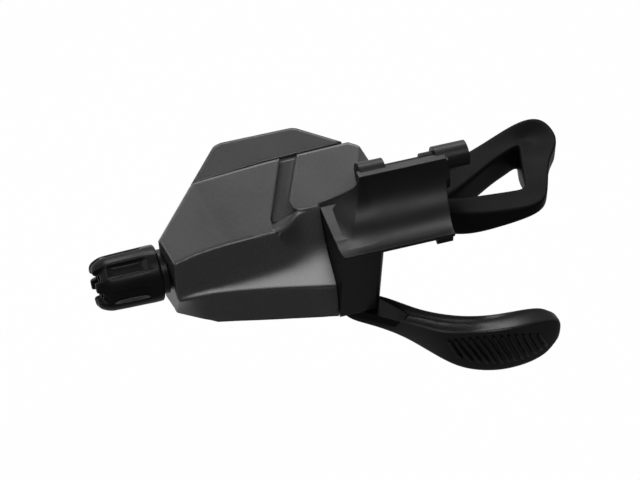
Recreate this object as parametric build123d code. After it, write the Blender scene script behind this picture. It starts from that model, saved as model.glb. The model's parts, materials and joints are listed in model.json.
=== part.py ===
from build123d import *
import os
from math import cos, degrees, radians, sin, sqrt, tan

# Trigger gear shifter for the right end of a flat handlebar, in millimetres.
# X runs along the handlebar towards its end, Y points forward, Z points up.
# The origin lies on the handlebar's axis, in the middle of the seat's rear lip.

# Handlebar seat
BAR_RADIUS = 11.1
SEAT_WALL = 2.4
SEAT_REAR_Y = -6.0
SEAT_FRONT_ANGLE = -8.0
SEAT_RIGHT_X = 14.9
SEAT_RIGHT_SLOPE = 0.2
LIP_EDGE = 1.0
SHELF_GAP = 0.1
SHELF_REAR = 0.3
SHELF_FRONT = 13.4
SHELF_WIDTH = 2.4
POCKET_RADIUS = 6.5
LIP_TAB = (4.0, 3.0, 2.6)

# Leg and base plate
LEG_LEFT = -13.6
LEG_RIGHT = -3.3
LEG_TOP_Y = -5.4
LEG_FOOT_Y = -3.0
LEG_FRONT_Y = 6.0
LEG_HEAD = -11.5
LEG_WALL = 2.6
LEG_CORNER = 1.6
CHEEK_BOTTOM = -23.0
CHEEK_SLANT = 4.0
BASE_BOTTOM = -33.0
BASE_THICK = 2.5
JOINT_REAR = 2.4

# Strap hinge
HINGE_Y = 14.3
HINGE_Z = -4.6
HINGE_PIN_RADIUS = 1.6
KNUCKLE_RADIUS = 3.3
LEFT_KNUCKLE = (-3.8, 2.5)
RIGHT_KNUCKLE = (15.2, 23.4)
HINGE_WEB = ((9.0, -2.2), (9.0, -9.5))
WEB_HALF = 2.5
CLIP_WIDTH = 3.2
CLIP_WALL = 0.7
CLIP_MOUTH = 1.6

# Housing cover
COVER_WALL = 1.5
COVER_TOP_WALL = 2.6
LID_FIT = 0.15
MOUTH_OVERLAP = 4.0
PILLAR_WALL = 1.3
COVER_TILT = 10.0
RIDGE_Y = 9.3
RIDGE_Z = -11.7
COVER_RIGHT = LEG_LEFT - LID_FIT
COVER_REAR_RIGHT = 14.4
COVER_FRONT = 38.0
COVER_LEFT = -54.1
COVER_REAR = -8.0
# plan corners of the cover's sides, clockwise from the cable end, each with its corner radius
COVER_CORNERS = (
    (COVER_LEFT, 14.0, 0.8), (COVER_LEFT, COVER_REAR, 0.5), (COVER_RIGHT, COVER_REAR, 0.5),
    (COVER_RIGHT, COVER_REAR_RIGHT, 0.5), (-3.3, 16.3, 1.5), (4.4, 22.0, 3.0), (0.8, 28.4, 3.0),
    (-12.8, COVER_FRONT, 4.0), (-33.0, COVER_FRONT, 5.0),
)
# rear side: the upper wall at the ridge and at its foot, the lower wall at its brow and at its foot
UPPER_RIDGE = ((-60.0, 3.6), (-43.1, 8.25), (-25.0, 9.1), (8.0, 9.4))
UPPER_FOOT = ((-60.0, 6.3), (-43.1, 6.8), (-25.0, 7.1), (8.0, 6.4))
UPPER_FOOT_Z = -24.5
LOWER_BROW = ((-60.0, 3.4), (-45.0, 6.2), (8.0, -4.5))
LOWER_BROW_Z = -22.0
LOWER_FOOT = ((-60.0, 17.0), (-42.2, 4.3), (8.0, -7.9))
# flare between the two walls with the bevel above it, the hollow side behind the right panel,
# and the faces of both ends, each a plane through three points
FLARE = ((-14.0, -0.3, -24.55), (-31.0, 3.1, -23.8), (-24.2, 8.2, -19.85))
FLARE_BEVEL = ((-15.3, 6.2, -20.4), (-40.4, 6.0, -22.7), (-15.3, 7.2, -18.84))
PANEL_SLOPE = ((-19.5, 13.9, -10.9), (-13.8, 13.9, -10.9), (-14.1, 8.2, -19.0))
PANEL_STEP = ((-25.0, 9.1, -11.7), (-19.5, 13.9, -10.9), (-23.6, 8.2, -19.6))
SIDE_SLOPE = ((1.0, 27.5, -8.5), (-3.6, 16.2, -10.5), (3.6, 21.0, -14.0))
END_SLOPE = ((-41.8, 27.0, -8.6), (-53.0, 13.9, -10.9), (-54.0, 14.0, -12.3))
END_WALL = ((-51.4, 6.2, -12.1), (-53.0, 13.9, -10.9), (-50.8, 10.4, -33.0))
STRIP_DEPTH = 1.5
STRIP_THICK = 1.0
STRIP_GAP = 0.25
STRIP_LINE = ((-60.0, 26.4), (-40.5, 27.9), (-23.0, 29.3), (10.0, 30.2))
STRIP_OPENS = 0.8
CHANNEL_DEPTH = 0.9
CHANNEL = (
    (-18.4, 30.5), (-26.1, 12.7), (-26.2, 10.4), (-25.0, 8.2), (-21.5, 9.3), (-18.2, 13.2), (-19.8, 14.6),
    (-20.2, 17.2), (-15.0, 28.4), (-14.1, 30.5),
)

# Cable line and axle
CABLE_Y = 14.0
CABLE_Z = -21.6
AXLE_X = -18.0
GROOVE_RADIUS = 10.0
AXLE_Y = CABLE_Y + GROOVE_RADIUS
AXLE_RADIUS = 4.0
RUN_FIT = 0.05
SLIP = 0.3
PUSH_FIT = 0.02
SPAN = 300.0

# Spool and ratchet
SPOOL_HALF = 2.5
FLANGE_RADIUS = 11.2
FLANGE_THICK = 1.5
KEY_RADIUS = 6.5
KEY_FLAT = 5.2
END_SEAT = 1.2
END_ANGLE = 60.0
PLATE_THICK = 1.6
TOOTH_COUNT = 24
TOOTH_TIP = 11.9
TOOTH_ROOT = 10.4
CLOCK_RISE = 1.2
SPIRAL_TURNS = 1.5
SPIRAL_STEP = 30.0
SPIRAL_PITCH = 0.9
SPIRAL_WALL = 0.5

# Pawls
PAWL_PIN_ORBIT = 17.2
PAWL_PIN_RADIUS = 1.5
PAWL_EYE = 2.4
PAWL_LIFT = 0.3
NOSE_WIDTH = 1.1
NOSE_AHEAD = 28.0
NOSE_BACK = 1.0
FEED_ANGLE = 166.0
HOLD_TEETH_AHEAD = 4
THUMB_STROKE = 30.0
NOSE_TOP = 2.4
NOSE_STEP = 1.2
HEEL_RISE = 1.6
HEEL_ANGLE = 7.0
LEAF_WALL = 0.8
LEAF_RISE = 0.6
LEAF_REACH = 5.4
LEAF_AHEAD = 16.0
LEAF_TAB = 5.0

# Thumb lever
LEVER_GAP = 0.4
LEVER_THICK = 2.4
LEVER_HUB = 9.5
LUG_FOOT = 30.0
LUG_HEAD = 9.0
LUG_WALL = 1.6
LEVER_ARM = ((-12.6, 1.2), (-8.4, -2.2), (0.0, -8.6), (2.6, -6.6), (-3.0, 1.0))
PAD_LEAN = 11.0
PADDLE_LEVEL = -33.0
PADDLE_HALF = 10.0
PADDLE_ROOT = 0.1
PADDLE_START = -20.0
PADDLE_EDGE = 0.5
# corners of the paddle in plan at its middle level, and in side view as (x, z), each with its radius
PADDLE_PLAN = (
    (-12.6, -0.6, 0.5), (-4.5, -6.2, 12.0), (7.0, -20.4, 14.0), (20.5, -26.8, 22.0), (33.2, -24.6, 5.0),
    (36.4, -20.4, 2.0), (30.0, -18.6, 6.0), (20.0, -19.6, 14.0), (11.8, -16.4, 10.0), (-2.4, 0.8, 0.5),
)
PADDLE_BEND = (-3.0, 14.0)
PADDLE_CREST = ((12.5, -26.0, 12.0), (25.0, -25.8, 20.0), (35.4, -29.0, 4.2))
PADDLE_KEEL = ((35.4, -36.0, 4.2), (24.0, -38.6, 22.0), (12.0, -39.8, 12.0), (3.0, -37.4, 12.0))
WALL_TOP = -28.3
WALL_THICK = 1.4
WALL_LEFT = -2.6
WALL_RIGHT = 14.0
PAD_CENTRE = (19.5, -31.8)
PAD_HALF = (12.4, 4.4)
RIB_COUNT = 13
RIB_PITCH = 1.75
RIB_WIDTH = 0.8
RIB_HEIGHT = 0.5
RIB_SLANT = 30.0
PAD_REACH = 30.0

# Release lever
RELEASE_GAP = 0.4
RELEASE_HUB = 8.5
HUB_RADIUS = 5.2
RELEASE_MOUTH = ((-18.5, 8.0), (8.0, 8.0), (8.0, 30.0), (-7.0, 30.0), (-9.0, 24.0), (-18.5, 24.0))
MOUTH_ROOM = 0.6
RELEASE_ARM = ((4.0, 21.6), (16.0, 18.0), (16.0, 12.0), (3.0, 14.4))
FINGER_REACH = 15.0
FINGER_ANGLES = (271.0, 279.0)
FINGER_TIP = 1.4
LOOP_TOP = -14.0
LOOP_BOTTOM = -22.0
LOOP_STEP = 1.0
# corners of the loop and of its window, each with its radius
LOOP_CORNERS = (
    (9.0, 10.0, 1.0), (21.0, 3.2, 3.0), (37.6, 1.2, 2.5), (40.6, 3.6, 3.0), (46.6, 16.8, 3.0),
    (51.4, 21.5, 3.0), (50.4, 29.2, 3.0), (46.0, 30.6, 2.0), (28.0, 23.0, 3.0), (9.0, 19.0, 1.0),
)
WINDOW_CORNERS = ((18.5, 9.2, 1.2), (36.8, 7.3, 1.5), (41.8, 23.4, 1.5), (28.4, 16.2, 3.0))
LOOP_UNDER_Y = 8.8
LOOP_UNDER = ((19.0, -30.0), (19.0, -21.6), (36.0, -17.2), (48.0, -17.2), (48.0, -30.0))
LOOP_ROOT = ((9.0, 10.6), (17.0, 10.6), (19.0, 18.6), (9.0, 18.6))
LOOP_TIP = (46.6, 25.6)
DISH_RADIUS = 9.0
DISH_HALF = 4.0
DISH_TURN = 30.0

# Cable adjuster
KNOB_RADIUS = 6.0
KNOB_CORE = 4.7
KNOB_LEFT = -69.8
KNOB_RIGHT = -54.8
KNOB_RIBS = 6
KNOB_RIB_WIDTH = 2.9
CROWN_DEPTH = 1.2
NOSE_TAPER = 0.6
NOSE_LENGTH = 4.6
END_RING = 2.0
COLLAR_RADIUS = 5.4
COLLAR_LEFT = -54.3
COLLAR_RIGHT = -52.2
BOSS_RADIUS = 4.3
BOSS_RIGHT = -43.0
INLET_WEB = (-1.0, 3.5)
INLET_LENGTH = 5.0
BOLT_RADIUS = 3.2
BOLT_LEFT = -68.6
BOLT_RIGHT = -46.0
SEAT_BORE = 2.55
SEAT_DEPTH = 8.0
WIRE_BORE = 0.9

# Bottom cap and fasteners
CAP_RADIUS = 11.0
CAP_HEIGHT = 1.6
THUMB_SPRING_RISE = 1.2
HEX_RADIUS = 5.6
HEX_HEIGHT = 2.0
CLIP_HALF = 4.9
CLIP_THICK = 0.8
CLIP_LAND = 0.6
SCREW_PLACES = ((-42.5, 20.5), (-21.0, 4.6))
SCREW_HEAD = 2.1
SCREW_SHANK = 1.1
SCREW_HEAD_HEIGHT = 1.3
SCREW_TIP = -26.5

# Levels that follow from the sizes above
BASE_TOP = BASE_BOTTOM + BASE_THICK
SPOOL_TOP = CABLE_Z + SPOOL_HALF
SPOOL_BOTTOM = CABLE_Z - SPOOL_HALF
RATCHET_BOTTOM = SPOOL_BOTTOM - PLATE_THICK
RELEASE_TOP = RATCHET_BOTTOM - RELEASE_GAP
RELEASE_BOTTOM = RELEASE_TOP - PLATE_THICK
LEVER_TOP = BASE_BOTTOM - LEVER_GAP
LEVER_BOTTOM = LEVER_TOP - LEVER_THICK
THUMB_SPRING_TOP = LEVER_BOTTOM - SLIP
CAP_TOP = THUMB_SPRING_TOP - THUMB_SPRING_RISE - RUN_FIT
CAP_BOTTOM = CAP_TOP - CAP_HEIGHT
LEAF_BOTTOM = (BASE_TOP + RATCHET_BOTTOM) / 2
SEAT_OUTER = BAR_RADIUS + SEAT_WALL
TOOTH_STEP = 360.0 / TOOTH_COUNT
TOOTH_PHASE = FEED_ANGLE + NOSE_AHEAD - NOSE_BACK
HOLD_ANGLE = FEED_ANGLE + HOLD_TEETH_AHEAD * TOOTH_STEP
SPOOL_CLIP_BOTTOM = SPOOL_TOP + SLIP
AXLE_TOP = SPOOL_CLIP_BOTTOM + CLIP_THICK + CLIP_LAND
LIP_Z = -sqrt(BAR_RADIUS ** 2 - SEAT_REAR_Y ** 2) - LIP_EDGE


def polar(radius, angle):
    """Point at a radius and an angle about the axle, seen from above."""
    return (AXLE_X + radius * cos(radians(angle)), AXLE_Y + radius * sin(radians(angle)))


def prism_z(points, bottom, top):
    """Upright prism on a plan outline."""
    outline = Polyline(*[(x, y, bottom) for x, y in points], close=True)
    return extrude(make_face(outline), amount=top - bottom, dir=(0, 0, 1))


def prism_x(points, left, right):
    """Prism along the handlebar on a (y, z) outline."""
    outline = Polyline(*[(left, y, z) for y, z in points], close=True)
    return extrude(make_face(outline), amount=right - left, dir=(1, 0, 0))


def disc(x, y, radius, bottom, top):
    return extrude(Pos(x, y, bottom) * Circle(radius), amount=top - bottom)


def rod_x(y, z, radius, left, right):
    return extrude(Plane((left, y, z), z_dir=(1, 0, 0)) * Circle(radius), amount=right - left)


def ring(x, y, inner, outer, bottom, top):
    return disc(x, y, outer, bottom, top) - disc(x, y, inner, bottom, top)


def spiral(inner, bottom, top):
    """Flat spring wound round the axle, as a band of short straight runs."""
    steps = [index * SPIRAL_STEP for index in range(int(SPIRAL_TURNS * 360 / SPIRAL_STEP) + 1)]
    band = [polar(inner + SPIRAL_PITCH * angle / 360, angle) for angle in steps]
    band += [polar(inner + SPIRAL_PITCH * angle / 360 + SPIRAL_WALL, angle) for angle in reversed(steps)]
    return prism_z(band, bottom, top)


def rounded(corners):
    """Closed plan face through corners given as (x, y, radius)."""
    points = [(x, y) for x, y, radius in corners]
    return make_face(FilletPolyline(*points, radius=[radius for x, y, radius in corners], close=True))


def beyond(plane, width=SPAN):
    """Space in front of a plane, or a square post that stands on it."""
    return plane * Box(width, width, SPAN, align=(Align.CENTER, Align.CENTER, Align.MIN))


def side_of(plane_points, inside, shift=0):
    """Space on the side of a plane through three points where a given point lies."""
    a, b, c = (Vector(*point) for point in plane_points)
    normal = (b - a).cross(c - a).normalized()
    if normal.dot(Vector(*inside) - a) < 0:
        normal = -normal
    return beyond(Plane(a + normal * shift, z_dir=normal))


def wall_block(low, low_z, high, high_z, inset, line):
    """Everything in front of a wall ruled between a low and a high plan line, and upright above them."""
    def ahead(points, level):
        curve = line(*[(x, y + inset, level) for x, y in points])
        end, start, far = curve @ 1, curve @ 0, COVER_FRONT + 20
        frame = Polyline(end, (end.X, far, level), (start.X, far, level), start)
        return make_face([*curve.edges(), *frame.edges()])

    top = ahead(high, high_z)
    return loft([ahead(low, low_z), top], ruled=True) + extrude(top, amount=SPAN)


def cover_form(inset, drop, floor, plan):
    """Outer or inner form of the cover: upper and lower rear walls, flare between them, trimmed to a plan."""
    above, below, ahead = (-18.0, 0.0, 0.0), (-30.0, 0.0, BASE_BOTTOM), (-30.0, 30.0, -20.0)
    form = wall_block(UPPER_FOOT, UPPER_FOOT_Z, UPPER_RIDGE, RIDGE_Z, inset, Polyline if inset else Spline)
    lower = wall_block(LOWER_FOOT, BASE_BOTTOM, LOWER_BROW, LOWER_BROW_Z, inset, Polyline)
    for slope in (FLARE, FLARE_BEVEL):
        form += lower & side_of(slope, below, inset)
    hollow = side_of(PANEL_SLOPE, above, -inset) & side_of(PANEL_STEP, above, -inset)
    form -= hollow & side_of(FLARE, above, -inset)
    form &= extrude(Pos(0, 0, floor) * plan, amount=60)
    for slope in (SIDE_SLOPE, END_SLOPE, END_WALL):
        form &= side_of(slope, ahead, inset)
    return form - above_cover(drop)


def above_cover(depth):
    """Space above a plane that lies a depth below the cover's top."""
    lean = radians(COVER_TILT)
    plane = Plane((0, RIDGE_Y, RIDGE_Z - depth / cos(lean)), x_dir=(1, 0, 0), z_dir=(0, -sin(lean), cos(lean)))
    return beyond(plane)


def strip_side(gap, opens):
    """Plan region of the cover's front strip. Its groove widens towards the right by an amount."""
    count = len(STRIP_LINE) - 1
    line = [(x, y + gap + opens * index / count) for index, (x, y) in enumerate(STRIP_LINE)]
    far = COVER_FRONT + 10
    return prism_z((*line, (line[-1][0], far), (line[0][0], far)), BASE_BOTTOM, 10)


def inner_plan(inset):
    """Plan of the cover's inside, open at its right end where the leg closes it."""
    plan = offset(rounded(COVER_CORNERS), -inset, kind=Kind.INTERSECTION)
    width = MOUTH_OVERLAP * 2
    mouth = Pos(COVER_RIGHT - width / 2 + 1, COVER_REAR_RIGHT - inset - 10) * Rectangle(width, 20)
    return plan + mouth


def make_cover():
    outer = cover_form(0, 0, BASE_BOTTOM, rounded(COVER_CORNERS))
    inner = cover_form(COVER_WALL, COVER_TOP_WALL, BASE_BOTTOM - 1, inner_plan(COVER_WALL))
    cover = outer - inner
    cover -= prism_z(CHANNEL, BASE_BOTTOM, 10) & above_cover(CHANNEL_DEPTH)
    cover -= strip_side(0, 0) & above_cover(STRIP_DEPTH)
    for x, y in SCREW_PLACES:
        width = (SCREW_SHANK + PILLAR_WALL) * 2
        pillar = beyond(Plane((x, y, BASE_TOP + RUN_FIT)), width)
        cover += (pillar & outer) - above_cover(STRIP_DEPTH)
    for x, y in SCREW_PLACES:
        cover -= disc(x, y, SCREW_SHANK + RUN_FIT, BASE_TOP, SCREW_TIP + SLIP)
    cover -= rod_x(CABLE_Y, CABLE_Z, COLLAR_RADIUS + SLIP, COVER_LEFT - 5, COLLAR_RIGHT + SLIP)
    cover -= rod_x(CABLE_Y, CABLE_Z, BOSS_RADIUS + RUN_FIT, COVER_LEFT - 5, BOSS_RIGHT)
    # mouth for the release plate in the right side wall, and room for the turning discs beside it
    cover -= prism_z(RELEASE_MOUTH, RELEASE_BOTTOM - MOUTH_ROOM, RELEASE_TOP + MOUTH_ROOM)
    cover -= disc(AXLE_X, AXLE_Y, TOOTH_TIP + SLIP, RATCHET_BOTTOM - SLIP, SPOOL_TOP + SLIP)
    return cover


def make_strip():
    outer = cover_form(0, 0, BASE_BOTTOM, rounded(COVER_CORNERS))
    strip = outer & strip_side(STRIP_GAP, STRIP_OPENS) & above_cover(STRIP_DEPTH)
    return strip - above_cover(STRIP_DEPTH - STRIP_THICK)


def make_bracket():
    front, reach = radians(SEAT_FRONT_ANGLE), SEAT_OUTER * 3
    left, right = LEG_LEFT, SEAT_RIGHT_X + SEAT_RIGHT_SLOPE * reach
    profile = (
        (SEAT_REAR_Y, 0), (SEAT_REAR_Y, LIP_Z), (SEAT_REAR_Y / 2, -SEAT_OUTER), (reach, -SEAT_OUTER),
        (reach, reach * tan(front)), (0, 0),
    )
    seat = rod_x(0, 0, SEAT_OUTER, left, right) & prism_x(profile, left, right)
    seat -= prism_z(
        ((SEAT_RIGHT_X - SEAT_RIGHT_SLOPE * reach, -reach), (SEAT_RIGHT_X + SEAT_RIGHT_SLOPE * reach, reach),
         (reach * 2, reach), (reach * 2, -reach)), -reach, reach)
    shelf_top = -BAR_RADIUS - SHELF_GAP
    # pocket to the left of the seat: a narrow shelf that rises into the seat's side in a hollow curve
    pocket_right = LEG_LEFT + SHELF_WIDTH + POCKET_RADIUS
    pocket_left = LEG_LEFT - reach
    pocket = prism_z(
        ((pocket_left, SHELF_REAR), (pocket_right, SHELF_REAR), (pocket_right, reach), (pocket_left, reach)),
        shelf_top, reach)
    corner = (pocket_right, reach / 2, shelf_top)
    seat -= fillet(pocket.edges().sort_by_distance(corner)[0], POCKET_RADIUS)
    shelf = prism_z(
        ((LEG_LEFT, -1), (pocket_right, -1), (pocket_right, SHELF_FRONT), (LEG_LEFT, SHELF_FRONT)),
        -SEAT_OUTER, shelf_top)
    shelf += prism_x(
        ((LEG_FRONT_Y - 1, shelf_top), (SHELF_FRONT, shelf_top), (SHELF_FRONT - CHEEK_SLANT, CHEEK_BOTTOM),
         (LEG_FRONT_Y - 1, CHEEK_BOTTOM)), LEG_LEFT, LEG_LEFT + LEG_WALL)
    leg = prism_x(
        ((LEG_TOP_Y, LIP_Z), (LEG_FOOT_Y, BASE_BOTTOM), (LEG_FRONT_Y, BASE_BOTTOM), (LEG_FRONT_Y, LEG_HEAD)),
        LEG_LEFT, LEG_RIGHT)
    corner = (LEG_RIGHT, (LEG_TOP_Y + LEG_FOOT_Y) / 2, (LIP_Z + BASE_BOTTOM) / 2)
    leg = fillet(leg.edges().sort_by_distance(corner)[0], LEG_CORNER)
    roof = -SEAT_OUTER - 1
    leg -= prism_x(
        ((LEG_TOP_Y + LEG_WALL + 1, roof), (LEG_FOOT_Y + LEG_WALL, BASE_TOP), (LEG_FRONT_Y + 1, BASE_TOP),
         (LEG_FRONT_Y + 1, roof)),
        LEG_LEFT + LEG_WALL, LEG_RIGHT - LEG_WALL)
    bracket = seat + shelf + leg
    tab_x = SEAT_RIGHT_X + SEAT_RIGHT_SLOPE * SEAT_REAR_Y - LIP_TAB[0] / 2
    bracket += Pos(tab_x, SEAT_REAR_Y + 1 + LIP_TAB[1] / 2, LIP_Z - LIP_TAB[2] / 2) * Box(*LIP_TAB)

    # hinge knuckles, each on a short web from the front of the seat
    for start, end in (LEFT_KNUCKLE, RIGHT_KNUCKLE):
        bracket += rod_x(HINGE_Y, HINGE_Z, KNUCKLE_RADIUS, start, end)
        web_end = min(end, SEAT_RIGHT_X + SEAT_RIGHT_SLOPE * HINGE_Y)
        web = (HINGE_WEB[0], (HINGE_Y, HINGE_Z + WEB_HALF), (HINGE_Y, HINGE_Z - WEB_HALF), HINGE_WEB[1])
        bracket += prism_x(web, start, web_end)
    bracket -= rod_x(0, 0, BAR_RADIUS, -SPAN, SPAN)
    for start, end in (LEFT_KNUCKLE, RIGHT_KNUCKLE):
        bracket -= rod_x(HINGE_Y, HINGE_Z, HINGE_PIN_RADIUS + RUN_FIT, start - 1, end + 1)
    # room for the strap's knuckle and the clip between the bracket's own
    bracket -= rod_x(HINGE_Y, HINGE_Z, HINGE_PIN_RADIUS + CLIP_WALL + SLIP, LEFT_KNUCKLE[1], RIGHT_KNUCKLE[0])

    # base plate that closes the bottom of the cover, joined to the leg through the cover's open end
    inset = COVER_WALL + LID_FIT
    plate = cover_form(inset, COVER_TOP_WALL, BASE_BOTTOM - 1, inner_plan(inset))
    plate &= Pos(0, 0, BASE_BOTTOM + BASE_THICK / 2) * Box(SPAN, SPAN, BASE_THICK)
    joint_left, joint_right = COVER_RIGHT - MOUTH_OVERLAP, LEG_LEFT + 1
    joint = prism_z(
        ((joint_left, JOINT_REAR), (joint_right, JOINT_REAR),
         (joint_right, LEG_FRONT_Y), (joint_left, LEG_FRONT_Y)), BASE_BOTTOM, BASE_TOP)
    bracket += plate + joint

    # cable inlet: boss, collar and the web that carries them
    bracket += rod_x(CABLE_Y, CABLE_Z, BOSS_RADIUS, COLLAR_RIGHT, BOSS_RIGHT)
    bracket += rod_x(CABLE_Y, CABLE_Z, COLLAR_RADIUS, COLLAR_LEFT, COLLAR_RIGHT)
    web_rear, web_front = CABLE_Y + INLET_WEB[0], CABLE_Y + INLET_WEB[1]
    bracket += prism_x(
        ((web_rear, CABLE_Z), (web_front, CABLE_Z), (web_front, BASE_BOTTOM + 1), (web_rear, BASE_BOTTOM + 1)),
        BOSS_RIGHT - INLET_LENGTH, BOSS_RIGHT)
    bracket -= rod_x(CABLE_Y, CABLE_Z, BOLT_RADIUS + RUN_FIT, COLLAR_LEFT - 1, BOSS_RIGHT + 1)

    # hub for the release plate, axle hole, slot for the feed pawl's pin, and the other holes
    bracket += disc(AXLE_X, AXLE_Y, HUB_RADIUS, BASE_BOTTOM, RELEASE_TOP)
    bracket -= disc(AXLE_X, AXLE_Y, AXLE_RADIUS + RUN_FIT, BASE_BOTTOM, RELEASE_TOP)
    slot_half = PAWL_PIN_RADIUS + SLIP
    under, over = BASE_BOTTOM - 1, BASE_TOP + 1
    slot = ring(AXLE_X, AXLE_Y, PAWL_PIN_ORBIT - slot_half, PAWL_PIN_ORBIT + slot_half, under, over)
    start, end = FEED_ANGLE, FEED_ANGLE + THUMB_STROKE
    far = PAWL_PIN_ORBIT * 2
    slot &= prism_z((polar(0, 0), polar(far, start), polar(far, (start + end) / 2), polar(far, end)), under, over)
    for angle in (start, end):
        slot += disc(*polar(PAWL_PIN_ORBIT, angle), slot_half, under, over)
    bracket -= slot
    bracket -= disc(*polar(PAWL_PIN_ORBIT, HOLD_ANGLE), PAWL_PIN_RADIUS + RUN_FIT, under, over)
    for x, y in SCREW_PLACES:
        bracket -= disc(x, y, SCREW_SHANK + RUN_FIT, under, over)
        bracket -= disc(x, y, SCREW_HEAD + RUN_FIT, under, BASE_BOTTOM + SCREW_HEAD_HEIGHT)
    return bracket


def make_hinge_pin():
    return rod_x(HINGE_Y, HINGE_Z, HINGE_PIN_RADIUS, LEFT_KNUCKLE[0], RIGHT_KNUCKLE[1])


def make_hinge_clip():
    right = RIGHT_KNUCKLE[0] - RUN_FIT
    left = right - CLIP_WIDTH
    inner = HINGE_PIN_RADIUS + PUSH_FIT
    sleeve = rod_x(HINGE_Y, HINGE_Z, inner + CLIP_WALL, left, right)
    sleeve -= rod_x(HINGE_Y, HINGE_Z, inner, left, right)
    mouth = Box(CLIP_WIDTH * 2, CLIP_MOUTH, CLIP_MOUTH * 3)
    return sleeve - Pos((left + right) / 2, HINGE_Y, HINGE_Z - CLIP_MOUTH * 2) * mouth


def make_axle():
    return disc(AXLE_X, AXLE_Y, AXLE_RADIUS, CAP_TOP, AXLE_TOP)


def make_axle_clip():
    """Square push-on clip over the axle's upper end."""
    bottom, top = SPOOL_CLIP_BOTTOM, SPOOL_CLIP_BOTTOM + CLIP_THICK
    clip = Pos(AXLE_X, AXLE_Y, (bottom + top) / 2) * Box(CLIP_HALF * 2, CLIP_HALF * 2, CLIP_THICK)
    return clip - disc(AXLE_X, AXLE_Y, AXLE_RADIUS + PUSH_FIT, bottom, top)


def make_bottom_cap():
    """Round cap on the axle's lower end, with a hexagon to tighten it by."""
    bottom = CAP_BOTTOM - HEX_HEIGHT
    cap = disc(AXLE_X, AXLE_Y, CAP_RADIUS, CAP_BOTTOM, CAP_TOP)
    return cap + extrude(Pos(AXLE_X, AXLE_Y, bottom) * RegularPolygon(HEX_RADIUS, 6), amount=HEX_HEIGHT)


def key_form(radius, flat, bottom, top):
    """Round boss with two flats, which carries the ratchet plate."""
    return disc(AXLE_X, AXLE_Y, radius, bottom, top) & (
        Pos(AXLE_X, AXLE_Y, (bottom + top) / 2) * Box(radius * 2 + 1, flat * 2, top - bottom))


def make_spool():
    """Drum with an upper flange. The ratchet plate on its key closes the groove from below."""
    spool = disc(AXLE_X, AXLE_Y, GROOVE_RADIUS, SPOOL_BOTTOM, SPOOL_TOP)
    spool += disc(AXLE_X, AXLE_Y, FLANGE_RADIUS, SPOOL_TOP - FLANGE_THICK, SPOOL_TOP)
    spool += key_form(KEY_RADIUS, KEY_FLAT, RATCHET_BOTTOM, SPOOL_BOTTOM)
    # seat for the cable's end, sunk in the flange
    spool -= disc(*polar(FLANGE_RADIUS - END_SEAT * 2, END_ANGLE), END_SEAT, CABLE_Z, SPOOL_TOP)
    return spool - disc(AXLE_X, AXLE_Y, AXLE_RADIUS + RUN_FIT, RATCHET_BOTTOM, SPOOL_TOP)


def make_ratchet():
    outline = []
    for tooth in range(TOOTH_COUNT):
        angle = TOOTH_PHASE + tooth * TOOTH_STEP
        outline.append(polar(TOOTH_ROOT, angle))
        outline.append(polar(TOOTH_TIP, angle))
    plate = prism_z(outline, RATCHET_BOTTOM, SPOOL_BOTTOM)
    return plate - key_form(KEY_RADIUS + PUSH_FIT, KEY_FLAT + PUSH_FIT, RATCHET_BOTTOM, SPOOL_BOTTOM)


def make_spool_spring():
    bottom = SPOOL_TOP + SLIP
    return spiral(CLIP_HALF * sqrt(2) + SLIP, bottom, bottom + CLOCK_RISE)


def make_pawl(pin_angle):
    """Pawl that reaches ahead of its pin, lifted just clear of the tooth tips."""
    pin = polar(PAWL_PIN_ORBIT, pin_angle)
    tip_radius = TOOTH_TIP + PAWL_LIFT
    ahead = pin_angle + NOSE_AHEAD
    width = degrees(NOSE_WIDTH / tip_radius)
    body = disc(*pin, PAWL_EYE, RATCHET_BOTTOM, SPOOL_BOTTOM)
    arm = prism_z(
        (polar(PAWL_PIN_ORBIT + PAWL_EYE, pin_angle + 2), polar(tip_radius + NOSE_TOP, ahead - 1),
         polar(tip_radius + NOSE_STEP, ahead), polar(tip_radius, ahead), polar(tip_radius, ahead - width),
         polar(tip_radius + HEEL_RISE, ahead - width - HEEL_ANGLE),
         polar(PAWL_PIN_ORBIT - PAWL_EYE + SLIP, pin_angle + 1)),
        RATCHET_BOTTOM, SPOOL_BOTTOM)
    return body + arm - disc(*pin, PAWL_PIN_RADIUS + RUN_FIT, RATCHET_BOTTOM, SPOOL_BOTTOM)


def make_pawl_pin(pin_angle, foot):
    return disc(*polar(PAWL_PIN_ORBIT, pin_angle), PAWL_PIN_RADIUS, foot, SPOOL_BOTTOM + SLIP)


def make_pawl_spring(pin_angle):
    """Leaf that leans on the pin, with a raised end that stands behind the pawl's back."""
    def line(angle):
        part = (angle - pin_angle) / LEAF_AHEAD
        return start + (end - start) * part

    start = PAWL_PIN_ORBIT + PAWL_PIN_RADIUS + LEAF_RISE
    end = TOOTH_TIP + LEAF_REACH
    ahead = pin_angle + LEAF_AHEAD

    def leaf(first, top):
        return prism_z(
            (polar(line(first), first), polar(end, ahead), polar(end + LEAF_WALL, ahead),
             polar(line(first) + LEAF_WALL, first)), LEAF_BOTTOM, top)

    return leaf(pin_angle, RATCHET_BOTTOM - SLIP) + leaf(ahead - LEAF_TAB, SPOOL_BOTTOM)


def lever_plan():
    """Plan of the thumb lever's plate: hub, arm and the tongue inside the paddle."""
    arm = make_face(Polyline(polar(LEVER_HUB, 205), *LEVER_ARM, polar(LEVER_HUB, -25), close=True))
    return Pos(AXLE_X, AXLE_Y) * Circle(LEVER_HUB) + arm


def make_lever_plate():
    plate = extrude(Pos(0, 0, LEVER_BOTTOM) * lever_plan(), amount=LEVER_THICK)
    plate -= disc(AXLE_X, AXLE_Y, AXLE_RADIUS + RUN_FIT, LEVER_BOTTOM - 1, LEVER_TOP + 1)
    return plate


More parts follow.
